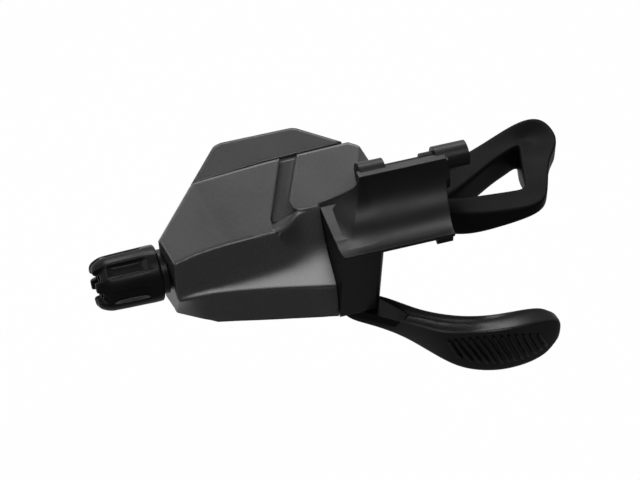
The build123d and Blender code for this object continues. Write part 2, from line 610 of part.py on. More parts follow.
def make_feed_lug():
    """Ear of the lever plate that carries the feed pawl's pin."""
    x, y = polar(PAWL_PIN_ORBIT, FEED_ANGLE)
    ear = prism_z(
        (polar(LEVER_HUB - 2, FEED_ANGLE - LUG_FOOT), polar(PAWL_PIN_ORBIT, FEED_ANGLE - LUG_HEAD),
         polar(PAWL_PIN_ORBIT, FEED_ANGLE + LUG_HEAD), polar(LEVER_HUB - 2, FEED_ANGLE + LUG_FOOT)),
        LEVER_BOTTOM, LEVER_TOP)
    ear += disc(x, y, PAWL_PIN_RADIUS + LUG_WALL, LEVER_BOTTOM, LEVER_TOP)
    return ear - disc(x, y, PAWL_PIN_RADIUS + RUN_FIT, LEVER_BOTTOM - 1, LEVER_TOP + 1)


def paddle_slab(shift):
    """Leaning slab on the paddle's plan outline, moved rearward by an amount."""
    lean = radians(PAD_LEAN)
    level = Plane((0, -shift, PADDLE_LEVEL), x_dir=(1, 0, 0), z_dir=(0, sin(lean), cos(lean)))
    return extrude(level * rounded(PADDLE_PLAN), amount=PADDLE_HALF, both=True)


def paddle_side(near, far):
    """Prism along Y on the paddle's side view: flat at its root, a leaf-shaped pad at its end."""
    level = LEVER_TOP + PADDLE_ROOT
    root = (PADDLE_START, level, PADDLE_EDGE)
    bend = (PADDLE_BEND[0], level, PADDLE_BEND[1])
    foot = (PADDLE_START, PADDLE_KEEL[-1][1], PADDLE_EDGE)
    side = Plane((0, near, 0), x_dir=(1, 0, 0), z_dir=(0, -1, 0))
    return extrude(side * rounded((root, bend, *PADDLE_CREST, *PADDLE_KEEL, foot)), amount=near - far)


def pad_ribs():
    """Slanted bars across the pad, seen from behind, before they are trimmed to its face."""
    bars = []
    for index in range(RIB_COUNT):
        x = PAD_CENTRE[0] + (index - (RIB_COUNT - 1) / 2) * RIB_PITCH
        bar = Box(RIB_WIDTH, PAD_REACH, PAD_HALF[1] * 4)
        bars.append(Pos(x, -PAD_REACH, PAD_CENTRE[1]) * Rot(0, -RIB_SLANT, 0) * bar)
    across, up = PAD_HALF
    x, z = PAD_CENTRE
    left, right = (x - across, -PAD_REACH * 2, z), (x + across, -PAD_REACH * 2, z)
    leaf = [ThreePointArc(left, (x, -PAD_REACH * 2, z + side * up), right) for side in (1, -1)]
    return Compound(children=bars) & extrude(make_face(leaf), amount=PAD_REACH * 2, dir=(0, 1, 0))


def make_paddle():
    slab = paddle_slab(0)
    near, far = -60.0, 20.0
    paddle = slab & paddle_side(near, far)
    # upright wall along the front of the root
    wall = slab - Pos(-WALL_THICK, -WALL_THICK, 0) * slab
    root = ((WALL_LEFT, near), (WALL_RIGHT, near), (WALL_RIGHT, far), (WALL_LEFT, far))
    paddle += wall & prism_z(root, LEVER_BOTTOM, WALL_TOP)
    paddle += paddle_slab(RIB_HEIGHT) & pad_ribs()
    return paddle - extrude(Pos(0, 0, LEVER_BOTTOM) * lever_plan(), amount=LEVER_THICK)


def release_plan():
    """Plan of the release plate: hub ring, arm to the trigger and a lifting finger."""
    arm = make_face(Polyline(polar(RELEASE_HUB, 62), *RELEASE_ARM, polar(RELEASE_HUB, -70), close=True))
    start, end = FINGER_ANGLES
    finger = make_face(Polyline(
        polar(RELEASE_HUB - 1, start - 11), polar(FINGER_REACH, start), polar(FINGER_REACH, end),
        polar(RELEASE_HUB - 1, end + 11), close=True))
    return Pos(AXLE_X, AXLE_Y) * Circle(RELEASE_HUB) + arm + finger


def make_release_plate():
    plate = extrude(Pos(0, 0, RELEASE_BOTTOM) * release_plan(), amount=PLATE_THICK)
    # turned-up end of the finger, level with the holding pawl
    start, end = FINGER_ANGLES
    inner = FINGER_REACH - FINGER_TIP
    tip = prism_z(
        (polar(inner, start), polar(FINGER_REACH, start), polar(FINGER_REACH, end), polar(inner, end)),
        RELEASE_BOTTOM, SPOOL_BOTTOM)
    return plate + tip - disc(AXLE_X, AXLE_Y, HUB_RADIUS + RUN_FIT, RELEASE_BOTTOM - 1, RELEASE_TOP + 1)


def make_trigger():
    outer, window = rounded(LOOP_CORNERS), rounded(WINDOW_CORNERS)
    loop = extrude(Pos(0, 0, LOOP_BOTTOM) * (outer - window), amount=LOOP_TOP - LOOP_BOTTOM)
    # the rear arm grows thinner towards its corner
    rise = Plane((0, LOOP_UNDER_Y, 0), x_dir=(1, 0, 0), z_dir=(0, -1, 0))
    loop -= extrude(rise * make_face(Polyline(*LOOP_UNDER, close=True)), amount=LOOP_UNDER_Y * 2)
    # dished finger rest at the tip
    x, y = LOOP_TIP
    drop = sqrt(DISH_RADIUS ** 2 - DISH_HALF ** 2)
    loop -= Pos(x, y, LOOP_TOP + drop) * Rot(0, 0, DISH_TURN) * Rot(90, 0, 0) * Cylinder(DISH_RADIUS, SPAN)
    trigger = loop + prism_z(LOOP_ROOT, RELEASE_BOTTOM, LOOP_TOP - LOOP_STEP)
    return trigger - extrude(Pos(0, 0, RELEASE_BOTTOM) * release_plan(), amount=PLATE_THICK)


def make_knob():
    """Ribbed barrel: a core with an end ring, and ribs that stand out of its nose like a crown."""
    core_left, ring_left = KNOB_LEFT + CROWN_DEPTH, KNOB_RIGHT - END_RING
    knob = rod_x(0, 0, KNOB_CORE, core_left, KNOB_RIGHT) + rod_x(0, 0, COLLAR_RADIUS, ring_left, KNOB_RIGHT)
    side = make_face(Polyline(
        (KNOB_LEFT, 0), (KNOB_LEFT, KNOB_CORE - NOSE_TAPER), (KNOB_LEFT + NOSE_LENGTH, KNOB_RADIUS),
        (ring_left, KNOB_RADIUS), (ring_left, 0), close=True))
    rib = extrude(Plane.XZ * side, amount=KNOB_RIB_WIDTH / 2, both=True)
    rib &= rod_x(0, 0, KNOB_RADIUS, KNOB_LEFT, ring_left)
    for index in range(KNOB_RIBS):
        knob += Rot(360.0 * index / KNOB_RIBS, 0, 0) * rib
    knob -= rod_x(0, 0, BOLT_RADIUS + RUN_FIT, KNOB_LEFT, KNOB_RIGHT)
    return Pos(0, CABLE_Y, CABLE_Z) * knob


def make_bolt():
    bolt = rod_x(CABLE_Y, CABLE_Z, BOLT_RADIUS, BOLT_LEFT, BOLT_RIGHT)
    bolt -= rod_x(CABLE_Y, CABLE_Z, SEAT_BORE, BOLT_LEFT - 1, BOLT_LEFT + SEAT_DEPTH)
    return bolt - rod_x(CABLE_Y, CABLE_Z, WIRE_BORE, BOLT_LEFT - 1, BOLT_RIGHT + 1)


def make_screws():
    screws = []
    for x, y in SCREW_PLACES:
        screw = disc(x, y, SCREW_HEAD, BASE_BOTTOM, BASE_BOTTOM + SCREW_HEAD_HEIGHT)
        screw += disc(x, y, SCREW_SHANK, BASE_BOTTOM, SCREW_TIP)
        screws += screw.solids()
    return Compound(children=screws)


def make_nodes():
    return {
        "base_bracket": make_bracket(),
        "hinge_pin": make_hinge_pin(),
        "hinge_clip": make_hinge_clip(),
        "housing_cover": make_cover(),
        "cover_strip": make_strip(),
        "bottom_cap": make_bottom_cap(),
        "cover_screws": make_screws(),
        "main_axle": make_axle(),
        "axle_clip": make_axle_clip(),
        "cable_spool": make_spool(),
        "ratchet_plate": make_ratchet(),
        "spool_spring": make_spool_spring(),
        "thumb_lever_plate": make_lever_plate() + make_feed_lug(),
        "thumb_paddle": make_paddle(),
        "thumb_spring": spiral(AXLE_RADIUS + SLIP, CAP_TOP + RUN_FIT, THUMB_SPRING_TOP),
        "feed_pawl": make_pawl(FEED_ANGLE),
        "feed_pawl_pin": make_pawl_pin(FEED_ANGLE, LEVER_BOTTOM),
        "feed_pawl_spring": make_pawl_spring(FEED_ANGLE),
        "holding_pawl": make_pawl(HOLD_ANGLE),
        "holding_pawl_pin": make_pawl_pin(HOLD_ANGLE, BASE_BOTTOM),
        "holding_pawl_spring": make_pawl_spring(HOLD_ANGLE),
        "release_plate": make_release_plate(),
        "release_trigger": make_trigger(),
        "release_spring": spiral(HUB_RADIUS + SLIP, BASE_TOP, RELEASE_BOTTOM - SLIP),
        "adjuster_knob": make_knob(),
        "adjuster_bolt": make_bolt(),
    }


def main():
    os.makedirs("parts", exist_ok=True)
    for name, shape in make_nodes().items():
        export_step(shape, f"parts/{name}.step")


main()
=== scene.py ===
import json
from math import cos, radians, sin

import bpy
from mathutils import Matrix, Vector


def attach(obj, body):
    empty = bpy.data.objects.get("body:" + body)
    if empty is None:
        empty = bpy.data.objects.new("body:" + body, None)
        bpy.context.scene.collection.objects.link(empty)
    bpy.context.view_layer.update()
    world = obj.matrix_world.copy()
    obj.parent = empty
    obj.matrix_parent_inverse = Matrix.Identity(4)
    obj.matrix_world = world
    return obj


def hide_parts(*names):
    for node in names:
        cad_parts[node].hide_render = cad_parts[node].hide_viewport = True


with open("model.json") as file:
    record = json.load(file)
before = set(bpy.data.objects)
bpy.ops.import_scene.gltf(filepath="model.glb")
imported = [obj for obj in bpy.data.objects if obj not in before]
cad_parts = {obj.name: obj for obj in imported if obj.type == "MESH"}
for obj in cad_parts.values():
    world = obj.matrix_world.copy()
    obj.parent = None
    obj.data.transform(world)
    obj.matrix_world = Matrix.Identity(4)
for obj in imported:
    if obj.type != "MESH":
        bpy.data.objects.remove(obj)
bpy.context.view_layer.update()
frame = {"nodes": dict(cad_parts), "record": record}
nodes = frame["nodes"]
scene = bpy.context.scene
scene.view_settings.view_transform = "Standard"

# Shapes are written in millimetres, and places of the camera and the lamps in metres
MM = 0.001
WHITE = (1.0, 1.0, 1.0, 1.0)

# Camera at the photograph's viewing angle
CAMERA_TURN = radians(17.4)
CAMERA_TILT = radians(46.0)
CAMERA_PLACE = Vector((-0.121261, -0.330175, 0.350420))
CAMERA_LENS = 120.0
CAMERA_SENSOR = 36.0

right = Vector((cos(CAMERA_TURN), -sin(CAMERA_TURN), 0.0))
up = Vector((sin(CAMERA_TURN) * sin(CAMERA_TILT), cos(CAMERA_TURN) * sin(CAMERA_TILT), cos(CAMERA_TILT)))
ahead = Vector((sin(CAMERA_TURN) * cos(CAMERA_TILT), cos(CAMERA_TURN) * cos(CAMERA_TILT), -sin(CAMERA_TILT)))
camera_data = bpy.data.cameras.new("camera")
camera_data.lens = CAMERA_LENS
camera_data.sensor_width = CAMERA_SENSOR
camera_data.clip_start = 0.01
camera_data.clip_end = 20.0
camera = bpy.data.objects.new("camera", camera_data)
scene.collection.objects.link(camera)
camera.matrix_world = Matrix((
    (right.x, up.x, -ahead.x, CAMERA_PLACE.x),
    (right.y, up.y, -ahead.y, CAMERA_PLACE.y),
    (right.z, up.z, -ahead.z, CAMERA_PLACE.z),
    (0.0, 0.0, 0.0, 1.0)))
scene.camera = camera


class Shader:
    """Small helper for one node material."""

    def __init__(self, tree):
        self.tree = tree
        self.links = tree.links

    def add(self, kind, values=None, **settings):
        """Adds a node; each value is set on its socket, or linked to it where it is another node's output."""
        node = self.tree.nodes.new(kind)
        for key, value in settings.items():
            setattr(node, key, value)
        for key, value in (values or {}).items():
            if isinstance(value, bpy.types.NodeSocket):
                self.links.new(value, node.inputs[key])
            else:
                node.inputs[key].default_value = value
        return node

    def math(self, operation, a, b=0.0):
        return self.add("ShaderNodeMath", {0: a, 1: b}, operation=operation).outputs[0]

    def span(self, value, low, high, new_low, new_high):
        """Maps a value from one range to another, held at its ends."""
        node = self.add("ShaderNodeMapRange", {
            "Value": value, "From Min": low, "From Max": high, "To Min": new_low, "To Max": new_high})
        return node.outputs["Result"]

    def noise(self, where, scale, detail=2.0, rough=0.5):
        node = self.add("ShaderNodeTexNoise", {
            "Vector": where, "Scale": scale, "Detail": detail, "Roughness": rough})
        return node.outputs[0]

    def tint(self, factor, dark, light):
        """Colour between a dark and a light one."""
        node = self.add("ShaderNodeMix", data_type="RGBA")
        self.links.new(factor, node.inputs["Factor"])
        node.inputs[6].default_value = (*dark, 1.0)
        node.inputs[7].default_value = (*light, 1.0)
        return node.outputs[2]

    def place(self):
        """Place on the object, in metres."""
        return self.add("ShaderNodeTexCoord").outputs["Object"]

    def painted_edge_highlight(self, amount):
        """Painted highlight: how much lighter a sharp convex edge is, found from pointiness, up to the given
        share.
        """
        pointed = self.add("ShaderNodeNewGeometry").outputs["Pointiness"]
        return self.span(pointed, 0.52, 0.60, 0.0, amount)

    def rounded(self, radius, samples):
        """Normal that turns softly over an edge, with the radius in millimetres."""
        return self.add("ShaderNodeBevel", {"Radius": radius * MM}, samples=samples).outputs[0]


def new_material(name):
    material = bpy.data.materials.new(name)
    material.use_nodes = True
    material.node_tree.nodes.clear()
    return material, Shader(material.node_tree)


def close(shader, surface):
    out = shader.add("ShaderNodeOutputMaterial")
    shader.links.new(surface, out.inputs["Surface"])


def moulding(name, dark, light, gloss, specular, radius=0.35):
    """Satin moulded plastic: spark-eroded grain, slow patches in gloss, and a painted highlight that makes
    sharp edges lighter.
    """
    grain_scale = 4200.0
    grain_depth = 0.000008
    patch_scale = 130.0
    material, s = new_material(name)
    where = s.place()
    fine = s.noise(where, grain_scale, 3.0, 0.6)
    patch = s.noise(where, patch_scale, 3.0, 0.55)
    # painted highlight: sharp convex edges are made lighter in colour
    edge = s.painted_edge_highlight(0.4)
    mixed = s.math("ADD", s.math("MULTIPLY", patch, 0.45), s.math("MULTIPLY", fine, 0.35))
    colour = s.tint(s.math("ADD", mixed, edge), dark, light)
    slow = s.span(patch, 0.3, 0.7, gloss - 0.05, gloss + 0.05)
    rough = s.math("ADD", slow, s.span(fine, 0.3, 0.7, -0.03, 0.03))
    bump = s.add("ShaderNodeBump", {
        "Strength": 0.3, "Distance": grain_depth, "Height": fine, "Normal": s.rounded(radius, 6)})
    surface = s.add("ShaderNodeBsdfPrincipled", {
        "Base Color": colour, "Roughness": rough, "Normal": bump.outputs[0],
        "Specular IOR Level": specular, "IOR": 1.46})
    close(s, surface.outputs[0])
    return material


def metallic_paint(name, dark, light, gloss, metallic, radius=0.9):
    """Satin metallic paint: fine flakes that catch the light, slow clouding, and a painted highlight that
    makes sharp edges lighter.
    """
    flake_scale = 5200.0
    grain_scale = 6500.0
    grain_depth = 0.000006
    cloud_scale = 90.0
    material, s = new_material(name)
    where = s.place()
    flake = s.add("ShaderNodeTexVoronoi", {"Vector": where, "Scale": flake_scale}, feature="F1")
    sparkle = s.add("ShaderNodeSeparateColor", {"Color": flake.outputs["Color"]}).outputs[0]
    fine = s.noise(where, grain_scale, 2.0, 0.6)
    cloud = s.noise(where, cloud_scale, 3.0, 0.5)
    # painted highlight: sharp convex edges are made lighter in colour
    edge = s.painted_edge_highlight(0.5)
    mixed = s.math("ADD", s.math("MULTIPLY", sparkle, 0.35), s.span(cloud, 0.3, 0.7, 0.15, 0.30))
    colour = s.tint(s.math("ADD", mixed, edge), dark, light)
    slow = s.span(cloud, 0.3, 0.7, gloss - 0.012, gloss + 0.012)
    rough = s.math("ADD", slow, s.span(sparkle, 0.0, 1.0, -0.015, 0.015))
    bump = s.add("ShaderNodeBump", {
        "Strength": 0.1, "Distance": grain_depth, "Height": fine, "Normal": s.rounded(radius, 8)})
    surface = s.add("ShaderNodeBsdfPrincipled", {
        "Base Color": colour, "Roughness": rough, "Normal": bump.outputs[0], "Metallic": metallic,
        "Specular IOR Level": 0.4})
    close(s, surface.outputs[0])
    return material


def steel(name, dark, light, gloss, axis):
    """Turned or drawn metal with fine lines along an axis, given as 0, 1 or 2."""
    brush_scale = 3000.0
    brush_depth = 0.000006
    stain_scale = 160.0
    material, s = new_material(name)
    where = s.place()
    stretch = [brush_scale] * 3
    stretch[axis] = brush_scale * 0.02
    lines = s.add("ShaderNodeMapping", {"Vector": where, "Scale": stretch}).outputs[0]
    brushed = s.noise(lines, 1.0, 2.0, 0.6)
    stain = s.noise(where, stain_scale, 4.0, 0.6)
    mixed = s.math("ADD", s.math("MULTIPLY", brushed, 0.5), s.math("MULTIPLY", stain, 0.5))
    colour = s.tint(mixed, dark, light)
    rough = s.span(s.math("ADD", brushed, stain), 0.6, 1.4, gloss - 0.08, gloss + 0.08)
    bump = s.add("ShaderNodeBump", {"Strength": 0.2, "Distance": brush_depth, "Height": brushed})
    surface = s.add("ShaderNodeBsdfPrincipled", {
        "Base Color": colour, "Roughness": rough, "Normal": bump.outputs[0], "Metallic": 1.0})
    close(s, surface.outputs[0])
    return material


# Finishes: the darkest and lightest colour, the roughness, then the specular level or the share of metal,
# and for some the radius of the softened edges
BLACK_DARK = (0.002, 0.002, 0.0021)
BLACK_LIGHT = (0.006, 0.006, 0.0062)
black = moulding("black_moulding", BLACK_DARK, BLACK_LIGHT, 0.40, 0.23)
lever = moulding("lever_black", BLACK_DARK, BLACK_LIGHT, 0.42, 0.03, 0.5)
paddle_black = moulding("paddle_black", BLACK_DARK, BLACK_LIGHT, 0.36, 0.3, 0.4)
knob_black = moulding("knob_black", BLACK_DARK, BLACK_LIGHT, 0.32, 0.12)
grey = metallic_paint("grey_cover", (0.035, 0.035, 0.0355), (0.075, 0.075, 0.076), 0.31, 0.6)
strip = metallic_paint("strip_grey", (0.019, 0.019, 0.0193), (0.044, 0.044, 0.0446), 0.32, 0.55)
acetal = moulding("spool_plastic", (0.26, 0.26, 0.265), (0.40, 0.40, 0.41), 0.38, 0.5)
dark_steel = steel("dark_steel", BLACK_DARK, (0.009, 0.009, 0.0093), 0.45, 0)
bright_steel = steel("bright_steel", (0.38, 0.38, 0.39), (0.62, 0.62, 0.63), 0.3, 2)
finishes = {
    "black_moulding": black, "lever_black": lever, "knob_black": knob_black, "grey_cover": grey,
    "strip_grey": strip, "spool_plastic": acetal, "dark_steel": dark_steel, "bright_steel": bright_steel,
}
for entry in frame["record"]["subparts"]:
    part = nodes[entry["node"]]
    part.data.materials.clear()
    part.data.materials.append(finishes[entry["material_slot"]])


def curve_through(points, count):
    """Smooth run of points, evenly spread by parameter, through a few given ones."""
    points = [Vector(point) for point in points]
    run = [2 * points[0] - points[1]] + points + [2 * points[-1] - points[-2]]
    made = []
    for step in range(count):
        place = step * (len(points) - 1) / (count - 1)
        index = min(int(place), len(points) - 2)
        t = place - index
        a, b, c, d = run[index:index + 4]
        bend = (2 * a - 5 * b + 4 * c - d) * t ** 2 + (3 * b - a - 3 * c + d) * t ** 3
        made.append(0.5 * (2 * b + (c - a) * t + bend))
    return made


def piece(name, verts, faces, material, body, level=2, creases=None):
    """Mesh piece in millimetres that rides a body, rounded by subdivision except along creased edges."""
    mesh = bpy.data.meshes.new(name)
    mesh.from_pydata([Vector(point) * MM for point in verts], [], faces)
    mesh.shade_smooth()
    if creases:
        values = mesh.attributes.new("crease_edge", "FLOAT", "EDGE")
        for edge in mesh.edges:
            values.data[edge.index].value = creases.get(tuple(sorted(edge.vertices)), 0.0)
    mesh.materials.append(material)
    made = bpy.data.objects.new(name, mesh)
    scene.collection.objects.link(made)
    rounding = made.modifiers.new("rounding", "SUBSURF")
    rounding.levels = level
    rounding.render_levels = level
    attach(made, body)
    return made


def sheet(rows, sharp, closed=False):
    """Vertices, faces and creases of a sheet through rows of points; sharp maps a row to its crease."""
    width = len(rows[0])
    verts = [point for row in rows for point in row]
    faces = []
    creases = {}
    for r in range(len(rows) if closed else len(rows) - 1):
        after = (r + 1) % len(rows)
        for k in range(width - 1):
            faces.append((r * width + k, after * width + k, after * width + k + 1, r * width + k + 1))
    for r, value in sharp.items():
        for k in range(width - 1):
            creases[(r * width + k, r * width + k + 1)] = value
    return verts, faces, creases


def wrapped(verts, faces, creases, width):
    """Joins the last column of a sheet to its first, which repeats it."""
    def place(index):
        return index // width * (width - 1) + index % width % (width - 1)

    kept = [point for index, point in enumerate(verts) if index % width < width - 1]
    joined = [tuple(place(index) for index in face) for face in faces]
    moved = {}
    for pair, value in creases.items():
        moved[tuple(sorted(place(index) for index in pair))] = value
    return kept, joined, moved


# Rear side of the cover as one soft skin. Every line runs from the cable end to the bar saddle, and its first
# point lies round the end's corner. From the top: the ridge's back and front, two lines of the hollow wall,
# the flare's top and its crisp lower edge, and the band under it.
SKIN = (
    ((-51.8, 7.6, -12.0), (-50.9, 7.4, -12.0), (-47.9, 8.3, -11.86), (-43.0, 9.2, -11.7),
     (-35.0, 9.8, -11.6), (-27.2, 10.2, -11.52), (-24.6, 10.7, -12.3), (-21.6, 12.6, -12.0),
     (-18.9, 14.4, -11.0), (-13.8, 14.6, -10.75)),
    ((-51.85, 7.4, -12.2), (-51.4, 6.15, -12.2), (-48.0, 7.05, -12.06), (-43.0, 8.1, -11.88),
     (-35.0, 8.7, -11.78), (-27.0, 8.9, -11.76), (-24.4, 9.3, -12.6), (-21.2, 11.4, -12.3),
     (-18.4, 13.6, -11.5), (-13.8, 13.8, -10.95)),
    ((-51.75, 7.4, -17.0), (-51.35, 6.2, -17.0), (-48.0, 6.9, -16.8), (-43.0, 7.5, -16.6),
     (-35.0, 7.8, -16.2), (-27.0, 8.05, -16.0), (-24.4, 8.1, -16.0), (-21.2, 9.3, -16.0),
     (-18.4, 10.1, -15.9), (-13.8, 10.2, -15.7)),
    ((-51.6, 7.2, -21.6), (-51.2, 6.0, -21.6), (-48.0, 6.6, -21.8), (-43.0, 6.9, -21.6),
     (-35.0, 7.0, -20.9), (-27.0, 7.2, -20.2), (-24.4, 7.3, -20.0), (-21.2, 7.4, -19.6),
     (-18.4, 7.6, -19.3), (-13.8, 7.7, -18.9)),
    ((-51.5, 6.6, -22.6), (-51.1, 5.5, -22.6), (-48.0, 5.9, -22.65), (-43.0, 6.1, -22.75),
     (-35.0, 5.3, -22.6), (-27.0, 4.5, -22.45), (-24.4, 4.3, -22.36), (-21.2, 4.0, -22.28),
     (-18.4, 3.8, -22.16), (-13.8, 3.4, -22.0)),
    ((-51.45, 5.9, -23.3), (-51.0, 4.7, -23.3), (-48.0, 4.8, -23.35), (-43.0, 4.95, -23.5),
     (-35.0, 3.7, -23.7), (-27.0, 2.2, -23.95), (-24.4, 1.65, -24.1), (-21.2, 0.95, -24.2),
     (-18.4, 0.35, -24.35), (-13.8, -0.65, -24.55)),
    ((-51.3, 9.2, -28.5), (-50.9, 7.9, -28.5), (-47.4, 6.4, -28.5), (-43.0, 4.6, -28.5),
     (-35.0, 2.9, -28.5), (-27.0, 1.2, -28.5), (-24.4, 0.65, -28.5), (-21.2, -0.1, -28.5),
     (-18.4, -0.7, -28.5), (-13.8, -1.75, -28.5)),
    ((-51.2, 11.4, -33.0), (-50.8, 10.1, -33.0), (-46.6, 7.2, -33.0), (-43.0, 4.7, -33.0),
     (-35.0, 2.45, -33.0), (-27.0, 0.5, -33.0), (-24.4, -0.1, -33.0), (-21.2, -0.9, -33.0),
     (-18.4, -1.55, -33.0), (-13.8, -2.7, -33.0)),
)
RIDGE_FRONT = 1
FLARE_EDGE = 5
END_CREASE = 0.5
verts, faces, creases = sheet(SKIN, {RIDGE_FRONT: 0.35, FLARE_EDGE: 0.65})
width = len(SKIN[0])
for row in range(len(SKIN) - 1):
    creases[(row * width + 1, (row + 1) * width + 1)] = END_CREASE
piece("cover_skin", verts, faces, grey, "base", 3, creases)

# Painted shade in the channel of the cover's top: a sheet in the strip's darker grey laid on the channel's
# floor, with soft corners along both walls. Each row is the left and the right end of a line across the
# channel in plan; the section is the share across and the rise there.
CHANNEL_ROWS = (
    ((-19.0, 28.9), (-14.85, 28.9)), ((-20.7, 25.0), (-16.66, 25.0)), ((-22.43, 21.0), (-18.5, 21.0)),
    ((-24.0, 17.4), (-20.25, 17.4)), ((-25.2, 14.4), (-20.0, 15.2)), ((-25.85, 12.2), (-19.7, 14.4)),
)
CHANNEL_SECTION = ((0.0, 0.45), (0.16, 0.10), (0.5, 0.05), (0.84, 0.10), (1.0, 0.45))
# the channel's floor slopes with the cover's top: its height at a place forward, and its rise per millimetre
CHANNEL_LEVEL = -10.73
CHANNEL_Y = 20.0
CHANNEL_SLOPE = 0.1763
rows = []
for left_end, right_end in CHANNEL_ROWS:
    line = []
    for share, rise in CHANNEL_SECTION:
        x, y = Vector(left_end).lerp(Vector(right_end), share)
        line.append((x, y, CHANNEL_LEVEL + CHANNEL_SLOPE * (y - CHANNEL_Y) + rise))
    rows.append(line)
verts, faces, creases = sheet(rows, {})
# painted shade: the strip's darker grey laid over the channel, where the recess is in shade
piece("channel_painted_shade", verts, faces, strip, "base", 2, creases)

# Left side of the bar saddle: the seat carried on to a curved edge, and a soft pocket wall down to the shelf.
# The edge and the wall's foot are given in plan.
SEAT_RADIUS = 11.06
SHELF_LEVEL = -11.16
EDGE = (
    (-12.0, -2.5), (-10.3, 0.2), (-9.3, 2.2), (-8.3, 4.25),
    (-7.2, 6.2), (-6.1, 8.1), (-5.0, 9.8), (-4.4, 10.8),
)
FOOT = (
    (-12.2, -2.3), (-11.6, 0.6), (-11.4, 2.6), (-11.3, 4.8),
    (-11.2, 7.0), (-11.1, 9.2), (-11.0, 11.2), (-10.9, 12.6),
)
INNER_X = -3.0
WALL_SHARE = 0.55
WALL_HOLLOW = 0.12
EDGE_CREASE = 0.85


def on_seat(x, y):
    return Vector((x, y, -((SEAT_RADIUS ** 2 - y ** 2) ** 0.5)))


def on_shelf(x, y):
    """Point at the wall's foot; near the saddle's lip, the shelf runs out under the seat."""
    if y < 0:
        return Vector((x, y, max(SHELF_LEVEL, on_seat(x, y).z - 0.02)))
    return Vector((x, y, SHELF_LEVEL))


inner = [on_seat(INNER_X, y) for x, y in EDGE]
half_way = [on_seat((x + INNER_X) / 2, y) for x, y in EDGE]
edge = [on_seat(x, y) for x, y in EDGE]
foot = [on_shelf(x, y) for x, y in FOOT]
wall = []
for a, b in zip(edge, foot):
    hollow = Vector((0.5, 0.0, -0.1)) * (a - b).length * WALL_HOLLOW
    wall.append(a.lerp(b, WALL_SHARE) + hollow)
verts, faces, creases = sheet((inner, half_way, edge, wall, foot), {2: EDGE_CREASE})
piece("saddle_side", verts, faces, black, "base", 3, creases)

# Cable adjuster: six broad ribs with sunk panels between them and a round castellated nose. Each row of the
# profile is the place along the axis, the radius, the depth of the panel and the cut in the nose.
KNOB_Y = 14.0
KNOB_Z = -21.6
KNOB_PROFILE = (
    (-66.0, 3.5, 0.0, 0.0), (-69.2, 3.6, 0.0, 1.3), (-69.8, 4.0, 0.0, 1.5), (-69.8, 4.9, 0.2, 1.5),
    (-69.2, 5.8, 0.5, 1.4), (-67.6, 6.5, 0.3, 0.6), (-66.4, 6.75, 0.2, 0.0), (-65.9, 6.8, 1.1, 0.0),
    (-62.0, 6.95, 1.2, 0.0), (-57.6, 7.0, 1.2, 0.0), (-57.1, 7.0, 0.2, 0.0), (-55.6, 7.0, 0.1, 0.0),
    (-54.2, 6.9, 0.0, 0.0), (-53.7, 6.4, 0.0, 0.0), (-53.6, 4.4, 0.0, 0.0),
)
NOSE_RIM = 3
COLLAR_RIM = 12
KNOB_RIBS = 6
KNOB_START = 20.0
# columns within one rib's share of the turn: the angle from the rib's middle, and how far it is in the panel
KNOB_COLUMNS = (
    (-15.0, 0.15), (-13.0, 0.0), (-4.5, 0.0), (4.5, 0.0), (13.0, 0.0),
    (15.0, 0.15), (17.0, 1.0), (25.0, 1.0), (35.0, 1.0), (43.0, 1.0),
)
rows = []
for x, radius, depth, cut in KNOB_PROFILE:
    ring = []
    for rib in range(KNOB_RIBS):
        for turn, sunk in KNOB_COLUMNS:
            angle = radians(60.0 * rib + turn + KNOB_START)
            reach = radius - depth * sunk
            ring.append((x + cut * sunk, KNOB_Y + reach * cos(angle), KNOB_Z + reach * sin(angle)))
    rows.append(ring + ring[:1])
verts, faces, creases = sheet(rows, {NOSE_RIM: 0.3, COLLAR_RIM: 0.4})
verts, faces, creases = wrapped(verts, faces, creases, len(rows[0]))
knob = piece("knob_form", verts, faces, knob_black, "knob", 2, creases)
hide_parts("adjuster_knob")

# Release lever: a rounded loop round the finger's window, with a scooped tip. Each station round the loop is
# the outer and the window's corner in plan, the height of the underside and the depth of the scoop.
LOOP_TOP = -14.0
LOOP = (
    (9.0, 10.0, 17.4, 9.9, -22.0, 0.0), (15.0, 6.0, 19.6, 9.2, -22.0, 0.0),
    (21.0, 2.9, 23.4, 8.7, -21.6, 0.1), (29.0, 1.6, 29.0, 8.1, -19.6, 0.1),
    (36.6, 0.8, 34.6, 7.5, -17.6, 0.1), (41.0, 2.8, 37.0, 7.5, -17.4, 0.1),
    (43.4, 9.0, 37.8, 11.0, -18.0, 0.1), (46.8, 16.4, 39.4, 17.2, -19.4, 0.2),
    (50.9, 20.6, 40.8, 21.6, -20.4, 1.3), (51.2, 25.6, 40.8, 22.6, -21.0, 1.7),
    (49.8, 30.2, 39.6, 22.4, -21.6, 1.5), (45.0, 30.9, 37.2, 21.0, -22.0, 0.6),
    (37.0, 27.6, 33.2, 19.2, -22.0, 0.2), (28.0, 23.4, 27.8, 15.8, -22.0, 0.1),
    (18.0, 20.6, 22.0, 12.2, -22.0, 0.0), (9.0, 19.0, 18.0, 10.4, -22.0, 0.0),
)
